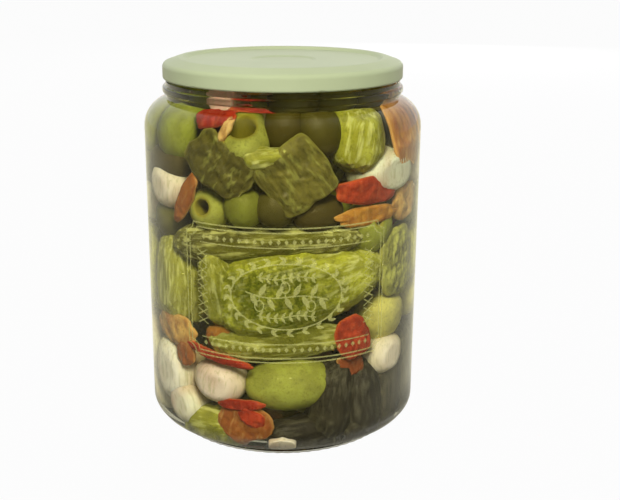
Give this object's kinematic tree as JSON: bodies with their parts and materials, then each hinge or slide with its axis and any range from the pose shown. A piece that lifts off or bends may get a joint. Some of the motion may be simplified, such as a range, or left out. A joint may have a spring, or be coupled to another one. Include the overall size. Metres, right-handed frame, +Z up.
{
  "type": "jar of pickle skewers",
  "caption": "Wide-mouth glass jar with a shut pressed-metal twist-off lid, filled to the neck with brine and mixed pickles threaded on short picks.",
  "frame": {"origin": "centre of the jar's base, on the surface it stands on", "axes": "+Z up along the jar's axis, -Y towards the printed front"},
  "size_m": [0.1, 0.1, 0.1353],
  "materials": {
    "clear_glass": "clear polished glass",
    "lid_lacquer": "pale celadon green lacquer on tinplate, semi-gloss",
    "sealing_compound": "matt off-white sealing compound",
    "brine_and_pickles": "yellow-green brine full of olives, gherkins, onions and pepper"
  },
  "bodies": {
    "root": {"jar_glass": "clear_glass", "lid": "lid_lacquer", "lid_gasket": "sealing_compound", "brine_fill": "brine_and_pickles"}
  },
  "joints": []
}
